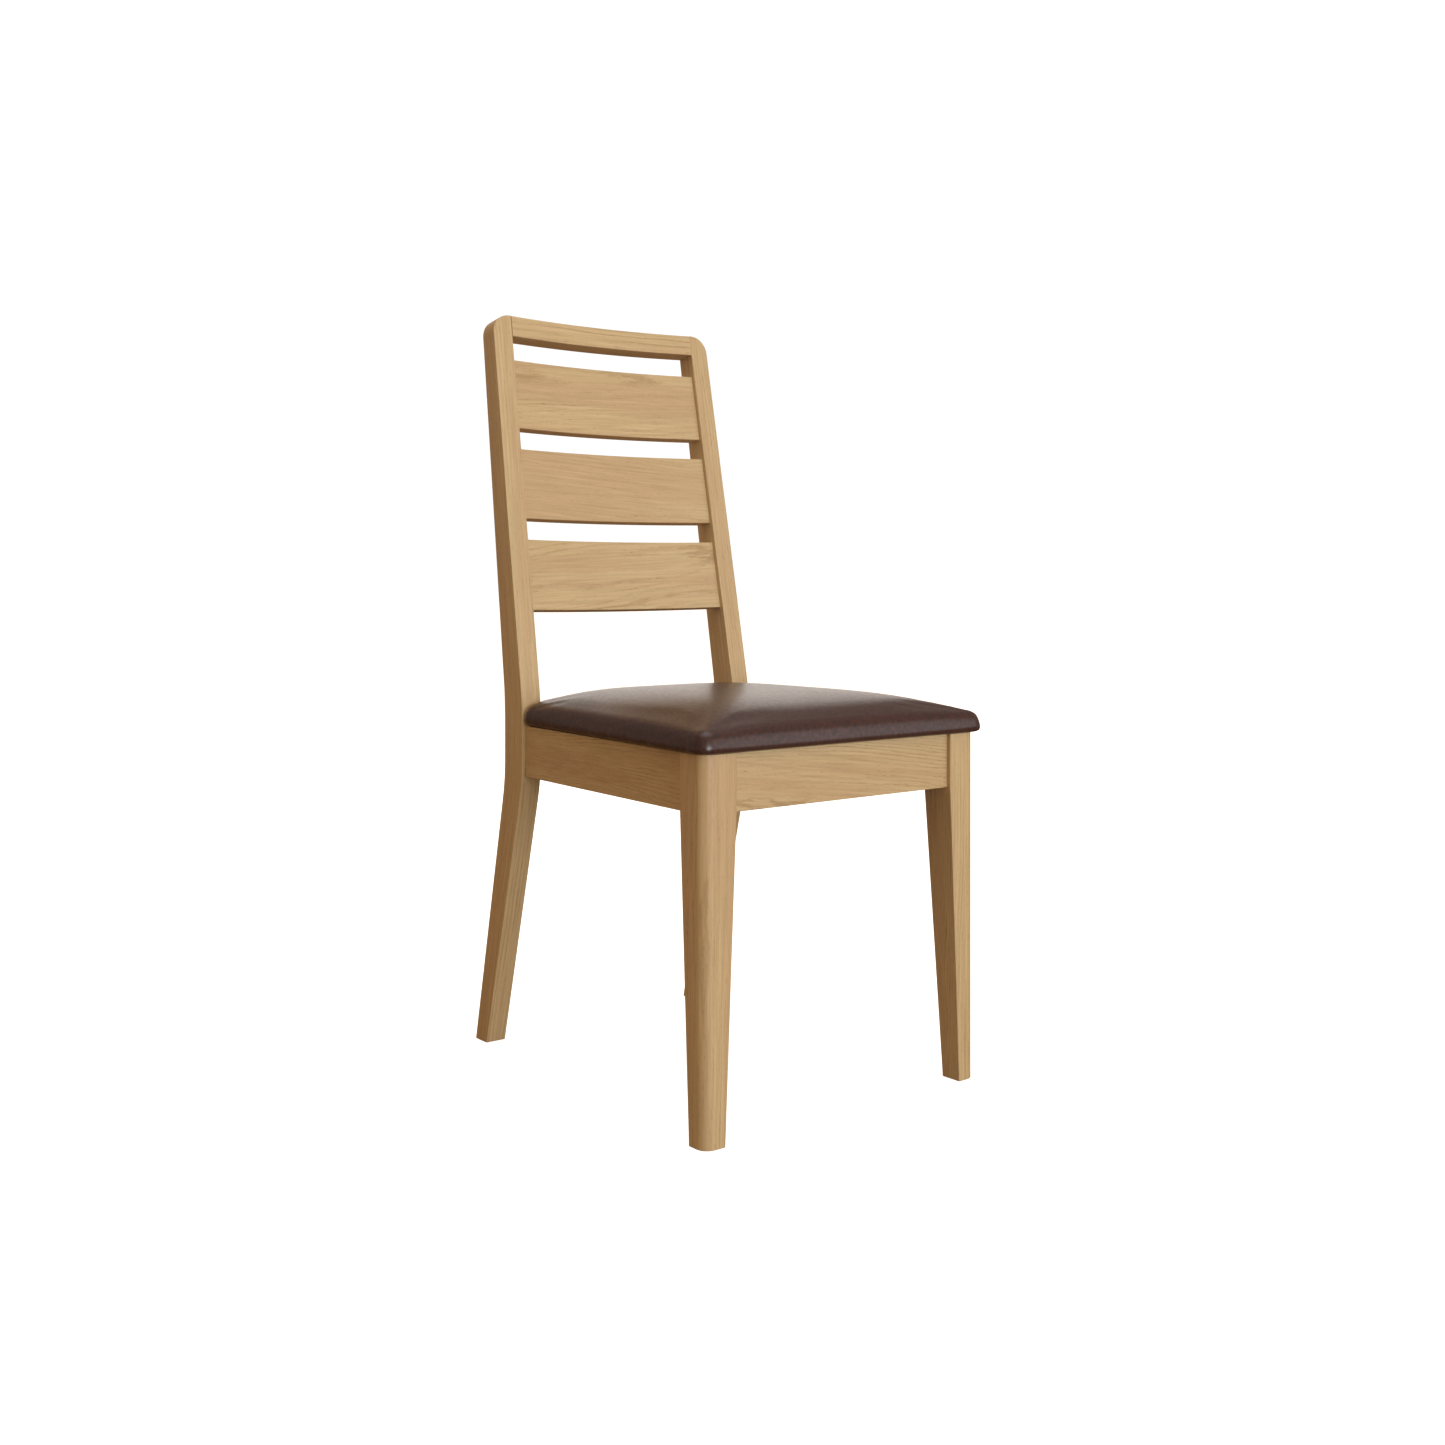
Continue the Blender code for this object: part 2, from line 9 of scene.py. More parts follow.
import bmesh
import bpy
from mathutils import Euler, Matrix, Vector


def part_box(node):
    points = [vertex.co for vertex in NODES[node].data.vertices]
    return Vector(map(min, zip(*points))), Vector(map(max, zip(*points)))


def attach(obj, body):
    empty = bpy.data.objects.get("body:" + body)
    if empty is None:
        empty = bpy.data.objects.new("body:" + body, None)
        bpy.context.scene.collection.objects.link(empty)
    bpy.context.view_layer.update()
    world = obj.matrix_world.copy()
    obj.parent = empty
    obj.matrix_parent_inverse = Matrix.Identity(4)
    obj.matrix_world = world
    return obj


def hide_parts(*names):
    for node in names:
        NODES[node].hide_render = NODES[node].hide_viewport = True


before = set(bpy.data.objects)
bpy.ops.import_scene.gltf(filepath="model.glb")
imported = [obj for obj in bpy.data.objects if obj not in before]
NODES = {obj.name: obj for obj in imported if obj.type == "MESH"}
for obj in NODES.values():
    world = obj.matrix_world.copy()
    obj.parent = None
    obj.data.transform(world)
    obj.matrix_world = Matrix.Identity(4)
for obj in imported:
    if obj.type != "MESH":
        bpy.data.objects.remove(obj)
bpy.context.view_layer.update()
SHARP_ANGLE = math.radians(50)  # an edge that turns by more than this stays sharp


# Node trees


def add(tree, kind, inputs=None, **settings):
    """A new node with these settings. An input is a number, a colour, a vector or another node's output."""
    node = tree.nodes.new(kind)
    for name, value in settings.items():
        setattr(node, name, value)
    for socket, value in (inputs or {}).items():
        if isinstance(value, bpy.types.NodeSocket):
            tree.links.new(value, node.inputs[socket])
        else:
            node.inputs[socket].default_value = value
    return node


def calculate(tree, operation, *values):
    node = add(tree, "ShaderNodeMath", dict(enumerate(values)), operation=operation)
    return node.outputs[0]


def vector_sum(tree, first, second):
    return add(tree, "ShaderNodeVectorMath", {0: first, 1: second}, operation="ADD").outputs[0]


def vector_product(tree, first, second):
    return add(tree, "ShaderNodeVectorMath", {0: first, 1: second}, operation="MULTIPLY").outputs[0]


def noise(tree, point, scale, detail=2.0, roughness=0.5):
    """Smooth noise from 0 to 1, with the scale in features per metre along each axis."""
    place = vector_product(tree, point, scale if hasattr(scale, "__len__") else (scale,) * 3)
    inputs = {"Vector": place, "Scale": 1.0, "Detail": detail, "Roughness": roughness}
    return add(tree, "ShaderNodeTexNoise", inputs).outputs[0]


def remap(tree, value, low, high, new_low, new_high):
    """Brings a value from low..high to new_low..new_high, easing in and out and holding it there beyond."""
    inputs = {0: value, 1: low, 2: high, 3: new_low, 4: new_high}
    return add(tree, "ShaderNodeMapRange", inputs, interpolation_type="SMOOTHSTEP").outputs[0]


def mixed(tree, share, first, second, blend="MIX"):
    """The first colour with a share of the second blended over it."""
    node = add(tree, "ShaderNodeMix", {0: share, 6: first, 7: second}, data_type="RGBA", blend_type=blend)
    return node.outputs[2]


def ramp(tree, value, stops):
    """The colour at a value between stops of (place, colour)."""
    node = add(tree, "ShaderNodeValToRGB", {0: value})
    band = node.color_ramp.elements
    while len(band) < len(stops):
        band.new(0.5)
    for element, (place, colour) in zip(band, stops):
        element.position = place
        element.color = (*colour, 1.0)
    return node.outputs[0]


def new_material(name):
    material = bpy.data.materials.new(name)
    material.use_nodes = True
    tree = material.node_tree
    return material, tree, tree.nodes["Principled BSDF"]


def bump(tree, height, strength, distance):
    inputs = {"Height": height, "Strength": strength, "Distance": distance}
    return add(tree, "ShaderNodeBump", inputs).outputs[0]


# Oak. A piece of wood is described by its grain point: x runs along the grain, and y and z say where the
# piece lay in the log, whose heart is the line y = z = 0.

RING_WIDTH = 0.0042  # one year's growth
OAK_PLAIN = (0.600, 0.456, 0.243, 1.0)
OAK_LINE = (0.400, 0.255, 0.118, 1.0)
OAK_PINK = (0.562, 0.399, 0.215, 1.0)
OAK_PORE = (0.250, 0.150, 0.065, 1.0)


def make_oak_figure():
    """A node group from grain point to the colour, roughness and surface height of oiled oak."""
    tree = bpy.data.node_groups.new("oak_figure", "ShaderNodeTree")
    tree.interface.new_socket("Grain point", in_out="INPUT", socket_type="NodeSocketVector")
    tree.interface.new_socket("Wildness", in_out="INPUT", socket_type="NodeSocketFloat")
    tree.interface.new_socket("Colour", in_out="OUTPUT", socket_type="NodeSocketColor")
    tree.interface.new_socket("Roughness", in_out="OUTPUT", socket_type="NodeSocketFloat")
    tree.interface.new_socket("Height", in_out="OUTPUT", socket_type="NodeSocketFloat")
    point, wildness = add(tree, "NodeGroupInput").outputs[0:2]

    across = vector_product(tree, point, (0.0, 1.0, 1.0))
    radius = add(tree, "ShaderNodeVectorMath", {0: across}, operation="LENGTH").outputs["Value"]
    sway = remap(tree, noise(tree, point, (1.9, 9.0, 9.0)), 0.2, 0.8, -0.014, 0.014)
    waver = remap(tree, noise(tree, point, (12.0, 75.0, 75.0), 5.0, 0.68), 0.2, 0.8, -0.0025, 0.0025)
    wandering = calculate(tree, "MULTIPLY", calculate(tree, "ADD", sway, waver), wildness)
    depth = calculate(tree, "ADD", radius, wandering)
    year = calculate(tree, "FRACT", calculate(tree, "DIVIDE", depth, RING_WIDTH))
    after = remap(tree, year, 0.0, 0.26, 1.0, 0.0)
    before = remap(tree, year, 0.84, 1.0, 0.0, 1.0)
    line = calculate(tree, "MAXIMUM", after, before)
    strength = remap(tree, noise(tree, point, (3.5, 50.0, 50.0), 1.0), 0.35, 0.68, 0.12, 0.70)
    colour = mixed(tree, calculate(tree, "MULTIPLY", line, strength), OAK_PLAIN, OAK_LINE)

    band = noise(tree, point, (1.5, 26.0, 26.0), 1.0)
    colour = mixed(tree, remap(tree, band, 0.42, 0.58, 0.0, 0.9), colour, OAK_PINK)
    streak = noise(tree, point, (10.0, 330.0, 330.0), 5.0, 0.72)
    streaks = ramp(tree, streak, ((0.30, (0.83, 0.81, 0.78)), (0.70, (1.09, 1.10, 1.11))))
    colour = mixed(tree, 1.0, colour, streaks, "MULTIPLY")

    pore_noise = noise(tree, point, (120.0, 1700.0, 1700.0), 2.0)
    porous = remap(tree, year, 0.0, 0.45, 1.0, 0.25)
    pores = calculate(tree, "MULTIPLY", remap(tree, pore_noise, 0.57, 0.68, 0.0, 1.0), porous)
    colour = mixed(tree, calculate(tree, "MULTIPLY", pores, 0.55), colour, OAK_PORE)

    shine = remap(tree, streak, 0.2, 0.8, 0.55, 0.45)
    roughness = calculate(tree, "ADD", shine, calculate(tree, "MULTIPLY", pores, 0.2))
    height = calculate(tree, "SUBTRACT", calculate(tree, "MULTIPLY", streak, 0.35), pores)
    add(tree, "NodeGroupOutput", {0: colour, 1: roughness, 2: height})
    return tree


OAK_FIGURE = make_oak_figure()


def make_oak(name, turn, log_place, wildness, straighten=None):
    """Oak for one piece.

    `turn` brings the piece's length along x, `log_place` moves it to where it lay in the log, and `wildness`
    is how much its rings wander.
    """
    material, tree, shader = new_material(name)
    place = add(tree, "ShaderNodeTexCoord").outputs["Object"]
    if straighten:
        place = straighten(tree, place)
    angles = Euler([math.radians(angle) for angle in turn])
    place = add(tree, "ShaderNodeMapping", {0: place, 1: log_place, 2: angles}).outputs[0]
    figure = add(tree, "ShaderNodeGroup", node_tree=OAK_FIGURE, inputs={0: place, 1: wildness})
    tree.links.new(figure.outputs["Colour"], shader.inputs["Base Color"])
    tree.links.new(figure.outputs["Roughness"], shader.inputs["Roughness"])
    tree.links.new(bump(tree, figure.outputs["Height"], 0.35, 0.00025), shader.inputs["Normal"])
    shader.inputs["Coat Weight"].default_value = 0.06
    shader.inputs["Coat Roughness"].default_value = 0.35
    return material


# Grain that follows a piece's own line. Each of these moves a point to its place in a straight piece.
# A lean is metres sideways or back for each metre of height past the bend.

POST_LEAN_IN = 0.0188
POST_RAKE = 0.163
UPPER_BEND = 0.470
POST_KICK = 0.233
LOWER_BEND = 0.367
BACK_BOW = 0.38  # the slats' ends stand forward of their middle by this times the square of the distance


def beyond(tree, value, limit, sign):
    """How far a value is past a limit, upwards for a sign of 1 and downwards for -1, and otherwise zero."""
    past = calculate(tree, "SUBTRACT", value, limit)
    return calculate(tree, "MAXIMUM", calculate(tree, "MULTIPLY", past, sign), 0.0)


def straight_post(side):
    """The rear posts lean back and in above the seat, and kick back below it."""

    def straighten(tree, place):
        height = add(tree, "ShaderNodeSeparateXYZ", {0: place}).outputs["Z"]
        lean = (side * POST_LEAN_IN, -POST_RAKE, 0.0)
        above = add(tree, "ShaderNodeVectorMath", {0: lean}, operation="SCALE")
        tree.links.new(beyond(tree, height, UPPER_BEND, 1.0), above.inputs["Scale"])
        kick = (0.0, -POST_KICK, 0.0)
        below = add(tree, "ShaderNodeVectorMath", {0: kick}, operation="SCALE")
        tree.links.new(beyond(tree, height, LOWER_BEND, -1.0), below.inputs["Scale"])
        return vector_sum(tree, vector_sum(tree, place, above.outputs[0]), below.outputs[0])

    return straighten


def straight_slat(tree, place):
    """The slats and the top rail bow back between the posts."""
    across = add(tree, "ShaderNodeSeparateXYZ", {0: place}).outputs["X"]
    bow = calculate(tree, "MULTIPLY", calculate(tree, "MULTIPLY", across, across), BACK_BOW)
    return vector_sum(tree, place, add(tree, "ShaderNodeCombineXYZ", {"Y": bow}).outputs[0])


# Other materials


def make_leather():
    """Smooth brown leather: a fine pebbled grain and a little reddish mottling under a satin finish."""
    material, tree, shader = new_material("brown_leather")
    place = add(tree, "ShaderNodeTexCoord").outputs["Object"]
    mottle = noise(tree, place, 210.0, 4.0, 0.6)
    colour = ramp(tree, mottle, ((0.36, (0.038, 0.020, 0.018)), (0.66, (0.076, 0.031, 0.023))))
    cloud = noise(tree, place, 14.0, 2.0)
    shade = ramp(tree, cloud, ((0.3, (0.92, 0.92, 0.92)), (0.7, (1.08, 1.06, 1.05))))
    colour = mixed(tree, 1.0, colour, shade, "MULTIPLY")
    wander = add(tree, "ShaderNodeTexNoise", {"Vector": place, "Scale": 500.0}).outputs["Color"]
    wobble = vector_sum(tree, place, vector_product(tree, wander, (0.0009,) * 3))
    cells = {"Vector": wobble, "Scale": 850.0}
    edge = add(tree, "ShaderNodeTexVoronoi", cells, feature="DISTANCE_TO_EDGE").outputs[0]
    pebble = remap(tree, edge, 0.0, 0.22, 0.0, 1.0)
    height = calculate(tree, "ADD", pebble, calculate(tree, "MULTIPLY", noise(tree, place, 2600.0), 0.5))
    valley = ramp(tree, pebble, ((0.0, (0.92, 0.91, 0.90)), (0.6, (1.0, 1.0, 1.0))))
    colour = mixed(tree, 1.0, colour, valley, "MULTIPLY")
    tree.links.new(colour, shader.inputs["Base Color"])
    roughness = remap(tree, mottle, 0.2, 0.8, 0.37, 0.29)
    tree.links.new(roughness, shader.inputs["Roughness"])
    tree.links.new(bump(tree, height, 0.03, 0.0001), shader.inputs["Normal"])
    return material


def make_beech():
    """Unfinished beech: pale, with short darker flecks along the grain."""
    material, tree, shader = new_material("plain_beech")
    place = add(tree, "ShaderNodeTexCoord").outputs["Object"]
    tone = noise(tree, place, (12.0, 12.0, 90.0), 3.0)
    colour = ramp(tree, tone, ((0.3, (0.52, 0.36, 0.22)), (0.7, (0.63, 0.46, 0.30))))
    fleck_noise = noise(tree, place, (1100.0, 1100.0, 160.0), 1.0)
    flecks = remap(tree, fleck_noise, 0.62, 0.72, 0.0, 0.6)
    colour = mixed(tree, flecks, colour, (0.30, 0.17, 0.09, 1.0))
    tree.links.new(colour, shader.inputs["Base Color"])
    tree.links.new(remap(tree, tone, 0.2, 0.8, 0.72, 0.60), shader.inputs["Roughness"])
    tree.links.new(bump(tree, fleck_noise, 0.2, 0.0002), shader.inputs["Normal"])
    return material


def make_plywood():
    """Poplar plywood: wide rotary-cut figure on its faces, and the layers in its edges."""
    material, tree, shader = new_material("plain_plywood")
    place = add(tree, "ShaderNodeTexCoord").outputs["Object"]
    drift = remap(tree, noise(tree, place, (22.0, 2.5, 400.0), 2.0), 0.2, 0.8, 0.0, 5.0)
    figure = calculate(tree, "PINGPONG", drift, 0.5)
    colour = ramp(tree, figure, ((0.0, (0.56, 0.43, 0.27)), (0.5, (0.68, 0.55, 0.37))))
    fibre = noise(tree, place, (500.0, 9.0, 700.0), 3.0)
    shade = ramp(tree, fibre, ((0.3, (0.90, 0.89, 0.87)), (0.7, (1.05, 1.05, 1.05))))
    colour = mixed(tree, 1.0, colour, shade, "MULTIPLY")
    tree.links.new(colour, shader.inputs["Base Color"])
    tree.links.new(remap(tree, fibre, 0.2, 0.8, 0.80, 0.70), shader.inputs["Roughness"])
    tree.links.new(bump(tree, fibre, 0.25, 0.0002), shader.inputs["Normal"])
    return material


def make_steel():
    """Zinc plated steel, with a faint mottled plating."""
    material, tree, shader = new_material("plated_steel")
    place = add(tree, "ShaderNodeTexCoord").outputs["Object"]
    plating = noise(tree, place, 900.0, 3.0)
    colour = ramp(tree, plating, ((0.3, (0.52, 0.53, 0.54)), (0.7, (0.66, 0.66, 0.65))))
    tree.links.new(colour, shader.inputs["Base Color"])
    tree.links.new(remap(tree, plating, 0.2, 0.8, 0.42, 0.28), shader.inputs["Roughness"])
    tree.links.new(bump(tree, plating, 0.1, 0.0001), shader.inputs["Normal"])
    shader.inputs["Metallic"].default_value = 1.0
    return material


def make_dust_cloth_material():
    """Black bonded cloth: matted fibres, and a grid of small round bonding dimples."""
    material, tree, shader = new_material("bonded_cloth")
    place = add(tree, "ShaderNodeTexCoord").outputs["Object"]
    fibres = noise(tree, place, (900.0, 900.0, 900.0), 5.0, 0.75)
    dimples = {"Vector": vector_product(tree, place, (1.0, 1.0, 0.0)), "Scale": 620.0, "Randomness": 0.0}
    dimple = remap(tree, add(tree, "ShaderNodeTexVoronoi", dimples).outputs[0], 0.15, 0.35, 0.0, 1.0)
    colour = ramp(tree, fibres, ((0.35, (0.011, 0.011, 0.012)), (0.7, (0.034, 0.034, 0.036))))
    pressed = ramp(tree, dimple, ((0.0, (0.6, 0.6, 0.6)), (1.0, (1.0, 1.0, 1.0))))
    colour = mixed(tree, 1.0, colour, pressed, "MULTIPLY")
    tree.links.new(colour, shader.inputs["Base Color"])
    height = calculate(tree, "ADD", dimple, fibres)
    tree.links.new(bump(tree, height, 0.5, 0.0002), shader.inputs["Normal"])
    tree.links.new(remap(tree, fibres, 0.2, 0.8, 0.95, 0.82), shader.inputs["Roughness"])
    shader.inputs["Sheen Weight"].default_value = 0.15
    return material


# Surfaces of the frame's pieces


def make_smoothing():
    """Geometry nodes that join the split corners of a loaded mesh, then shade it smooth up to its edges."""
    tree = bpy.data.node_groups.new("smooth_to_edges", "GeometryNodeTree")
    tree.interface.new_socket("Geometry", in_out="INPUT", socket_type="NodeSocketGeometry")
    tree.interface.new_socket("Geometry", in_out="OUTPUT", socket_type="NodeSocketGeometry")
    mesh = add(tree, "NodeGroupInput").outputs[0]
    mesh = add(tree, "GeometryNodeMergeByDistance", {"Geometry": mesh, "Distance": 1e-6}).outputs[0]
    mesh = add(tree, "GeometryNodeRemoveAttribute", {"Geometry": mesh, "Name": "custom_normal"}).outputs[0]
    smooth = {"Geometry": mesh, "Shade Smooth": True}
    mesh = add(tree, "GeometryNodeSetShadeSmooth", smooth, domain="FACE").outputs[0]
    angle = add(tree, "GeometryNodeInputMeshEdgeAngle").outputs["Unsigned Angle"]
    blunt = add(tree, "FunctionNodeCompare", {0: angle, 1: SHARP_ANGLE}, operation="LESS_THAN").outputs[0]
    smooth = {"Geometry": mesh, "Shade Smooth": blunt}
    mesh = add(tree, "GeometryNodeSetShadeSmooth", smooth, domain="EDGE").outputs[0]
    add(tree, "NodeGroupOutput", {0: mesh})
    return tree


SMOOTHING = make_smoothing()


def dress(name, material):
    """Gives a frame piece its material, and normals that keep its flats flat and its eased edges round."""
    piece = NODES[name]
    for slot in piece.material_slots:
        slot.material = material
    piece.modifiers.new("smoothing", "NODES").node_group = SMOOTHING
    even = piece.modifiers.new("flats", "WEIGHTED_NORMAL")
    even.keep_sharp = True


UPRIGHT = (0, 90, 0)  # brings z along x
RAKED = (10, 0, 0)  # stands a raked slat up

# Each slat's middle height, how far it is moved up and outwards in the log, and its tilt there
SLATS = (
    ("upper_slat", 0.877, -0.085, 0.045, 1.5),
    ("middle_slat", 0.754, 0.040, 0.028, -3.5),
    ("lower_slat", 0.631, -0.045, 0.055, 2.5),
)


def dress_wood():
    """Oak for the frame. The first number of each place keeps the pieces apart along the log."""
    for number, (name, side) in enumerate((("left", -1), ("right", 1))):
        place = (0.2 + number, 0.19, 0.10 * side)
        dress(f"front_leg_{name}", make_oak(f"oak_leg_{name}", UPRIGHT, place, 0.5))
        place = (2.2 + number, -0.10, 0.26 * side)
        dress(f"rear_post_{name}", make_oak(f"oak_post_{name}", UPRIGHT, place, 0.3, straight_post(side)))
        place = (4.2 + number, 0.165 * side, -0.375)
        dress(f"{name}_apron", make_oak(f"oak_{name}_apron", (0, 5, -90), place, 0.7))
    for number, (name, middle, up, outwards, tilt) in enumerate(SLATS):
        place = (6.2 + number, outwards, up - middle)
        dress(name, make_oak(f"oak_{name}", (RAKED[0], tilt, 0), place, 0.6, straight_slat))
    dress("top_rail", make_oak("oak_top_rail", RAKED, (9.3, 0.10, -0.93), 0.3, straight_slat))
    dress("front_apron", make_oak("oak_front_apron", (0, -7, 0), (10.3, 0.290, -0.362), 0.8))
    dress("rear_apron", make_oak("oak_rear_apron", (0, 0, 0), (11.3, -0.12, -0.38), 0.7))


def dress_hidden_parts():
    """Steel screws, beech blocks and dowels, and the plywood under the cushion."""
    beech, plywood, steel = make_beech(), make_plywood(), make_steel()
    for name in NODES:
        if "block_screw" in name or "seat_screw" in name:
            dress(name, steel)
        elif "corner_block" in name or "dowel" in name:
            dress(name, beech)
    dress("seat_board", plywood)


# Seat cushion

# Its outline seen from above: narrower at the rear, notched round the posts, with a tongue between them
SEAT_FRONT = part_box("seat_cover")[0].y
SEAT_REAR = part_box("seat_cover")[1].y
SEAT_TONGUE_LENGTH = 0.0395
SEAT_SIDE_END = SEAT_REAR - SEAT_TONGUE_LENGTH
SEAT_EASE = 0.0030  # extra width on each side of the front, which smoothing takes off its corners again
SEAT_FRONT_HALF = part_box("seat_cover")[1].x + SEAT_EASE
SEAT_REAR_HALF = 0.1942
SEAT_TONGUE_HALF = 0.1625
SEAT_RADII = (0.017, 0.017, 0.005, 0.003, 0.006, 0.006, 0.003, 0.005)  # anticlockwise from the front left
SEAT_LEAST_RADIUS = 0.003
SEAT_CORNER_STEPS = 5
SEAT_RUN_STEPS = 12
SEAT_PULL = 0.0015  # how far tension draws in the middle of each side
SEAT_PULL_FADE = 8  # how fast the front's pull dies away towards the rear

# Its section, from the hem up over the rounded edge to the crown
SEAT_BOTTOM = 0.4408
SEAT_WIDEST = 0.4490
SEAT_SHOULDER = 0.4670
SEAT_TUCK = 0.0035  # how far the bottom lies inside the widest line
SEAT_ROLL = 0.0112  # how far the shoulder lies inside it
SEAT_EDGE_STEP = 15  # degrees
SEAT_RISE = 0.0243
SEAT_FULLNESS = 4.1  # a higher power makes the crown flatter on top and steeper at its edges
SEAT_CENTRE = Vector((0.0, -0.05))
CROWN_RINGS = 20

# The hem under it, and the recess for the board
HEM_WIDTH = 0.050
HEM_THICKNESS = 0.0012
BOARD_INSET = 0.010
BOARD_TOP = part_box("seat_board")[1].z
GAP = 0.0003

# How the padding swells
VOXEL = 0.004
SWELL_FRAMES = 20
SWELL_PRESSURE = 4.0
SWELL_STIFFNESS = 40.0
SWELL_BENDING = 2.0
SWELL_LIMIT = 0.002
SMOOTH_PASSES = 5
POST_HOLD_BEFORE = 0.020
POST_HOLD_FROM = SEAT_SIDE_END - POST_HOLD_BEFORE
POST_HOLD_OVER = 0.015


def rounded_outline(corners, radii, arc_steps, run_steps):
    """The outline of a polygon with arcs for its corners and straight runs cut into equal steps."""
    arcs = []
    for i, corner in enumerate(corners):
        here = Vector(corner)
        back = (Vector(corners[i - 1]) - here).normalized()
        ahead = (Vector(corners[(i + 1) % len(corners)]) - here).normalized()
        half_angle = back.angle(ahead) / 2
        centre = here + (back + ahead).normalized() * radii[i] / math.sin(half_angle)
        start = here + back * radii[i] / math.tan(half_angle) - centre
        end = here + ahead * radii[i] / math.tan(half_angle) - centre
        turn = start.angle(end)
        arc = []
        for step in range(arc_steps + 1):
            share = step / arc_steps
            spoke = start * math.sin((1 - share) * turn) + end * math.sin(share * turn)
            arc.append(centre + spoke / math.sin(turn))
        arcs.append(arc)
    outline = []
    for arc, following in zip(arcs, arcs[1:] + arcs[:1]):
        outline += arc
        outline += [arc[-1].lerp(following[0], step / run_steps) for step in range(1, run_steps)]
    return outline


def inset(corners, distance):
    """The corners of an anticlockwise polygon, each edge moved inwards by the distance."""
    moved = []
    for i, corner in enumerate(corners):
        here = Vector(corner)
        before = (here - Vector(corners[i - 1])).normalized()
        after = (Vector(corners[(i + 1) % len(corners)]) - here).normalized()
        inward = Vector((-before.y, before.x)) + Vector((-after.y, after.x))
        moved.append(here + inward * distance / (1 + before.dot(after)))
    return moved


def pulled_in(point):
    """Draws the middle of each side, and of the front, in from the straight line between its corners."""
    along = 1 - (point.y - SEAT_SIDE_END) / (SEAT_FRONT - SEAT_SIDE_END)
    from_ends = max(4 * along * (1 - along), 0.0)
    across = point.x / SEAT_FRONT_HALF
    draw_in = math.copysign(SEAT_PULL * from_ends * abs(across), point.x)
    draw_back = SEAT_PULL * max(1 - across**2, 0.0) * max(1 - along, 0.0) ** SEAT_PULL_FADE
    return Vector((point.x - draw_in, point.y + draw_back))


def seat_ring(distance, scale=1.0):
    """The seat's outline, moved inwards by a distance and then shrunk towards its centre."""
    corners = (
        (-SEAT_FRONT_HALF, SEAT_FRONT),
        (SEAT_FRONT_HALF, SEAT_FRONT),
        (SEAT_REAR_HALF, SEAT_SIDE_END),
        (SEAT_TONGUE_HALF, SEAT_SIDE_END),
        (SEAT_TONGUE_HALF, SEAT_REAR),
        (-SEAT_TONGUE_HALF, SEAT_REAR),
        (-SEAT_TONGUE_HALF, SEAT_SIDE_END),
        (-SEAT_REAR_HALF, SEAT_SIDE_END),
    )
    radii = [max(radius - distance, SEAT_LEAST_RADIUS) for radius in SEAT_RADII]
    outline = rounded_outline(inset(corners, distance), radii, SEAT_CORNER_STEPS, SEAT_RUN_STEPS)
    return [SEAT_CENTRE + (pulled_in(point) - SEAT_CENTRE) * scale for point in outline]


def crown(point):
    """How far the padding rises above the cushion's shoulder."""
    back = (point.y - SEAT_FRONT) / (SEAT_SIDE_END - SEAT_FRONT)
    half_width = SEAT_FRONT_HALF + (SEAT_REAR_HALF - SEAT_FRONT_HALF) * back
    middle = (SEAT_FRONT + SEAT_REAR) / 2
    across = min(abs(point.x / half_width), 1.0)
    along = min(abs((point.y - middle) / (SEAT_REAR - middle)), 1.0)
    return SEAT_RISE * (1 - across**SEAT_FULLNESS) * (1 - along**SEAT_FULLNESS)


def cushion_rings():
    """The rings of the rounded edge, from the bottom up, and then those of the crown, closing in."""
    rings = []
    for angle in range(-90, 91, SEAT_EDGE_STEP):
        turn = math.radians(angle)
        inwards = SEAT_TUCK if angle < 0 else SEAT_ROLL
        rise = SEAT_WIDEST - SEAT_BOTTOM if angle < 0 else SEAT_SHOULDER - SEAT_WIDEST
        height = SEAT_WIDEST + rise * math.sin(turn)
        lift = max(math.sin(turn), 0.0)
        outline = seat_ring(inwards * (1 - math.cos(turn)))
        rings.append([(*point, height + lift * crown(point)) for point in outline])
    for step in range(1, CROWN_RINGS):
        outline = seat_ring(SEAT_ROLL, 1 - step / CROWN_RINGS)
        rings.append([(*point, SEAT_SHOULDER + crown(point)) for point in outline])
    return rings


def recess_rings():
    """The opening inside the hem, and above it the space that the board fills."""
    hem_top = SEAT_BOTTOM + HEM_THICKNESS
    opening = seat_ring(HEM_WIDTH)
    board = seat_ring(BOARD_INSET - GAP)
    levels = (
        (opening, SEAT_BOTTOM - HEM_THICKNESS),
        (opening, hem_top),
        (board, hem_top),
        (board, BOARD_TOP + GAP),
    )
    return [[(*point, height) for point in outline] for outline, height in levels]


def loft(name, rings):
    """A closed body through rings of as many points each."""
    shape = bmesh.new()
    loops = [[shape.verts.new(point) for point in ring] for ring in rings]
    for lower, upper in zip(loops, loops[1:]):
        for i, start in enumerate(lower):
            following = (i + 1) % len(lower)
            shape.faces.new((start, lower[following], upper[following], upper[i]))
    shape.faces.new(loops[0])
    shape.faces.new(loops[-1])
    bmesh.ops.recalc_face_normals(shape, faces=shape.faces)
    mesh = bpy.data.meshes.new(name)
    shape.to_mesh(mesh)
    shape.free()
    piece = bpy.data.objects.new(name, mesh)
    bpy.context.scene.collection.objects.link(piece)
    return piece


def frozen(piece):
    """Replaces the piece's mesh by what its modifiers make of it."""
    graph = bpy.context.evaluated_depsgraph_get()
    mesh = bpy.data.meshes.new_from_object(piece.evaluated_get(graph))
    piece.modifiers.clear()
    piece.data = mesh


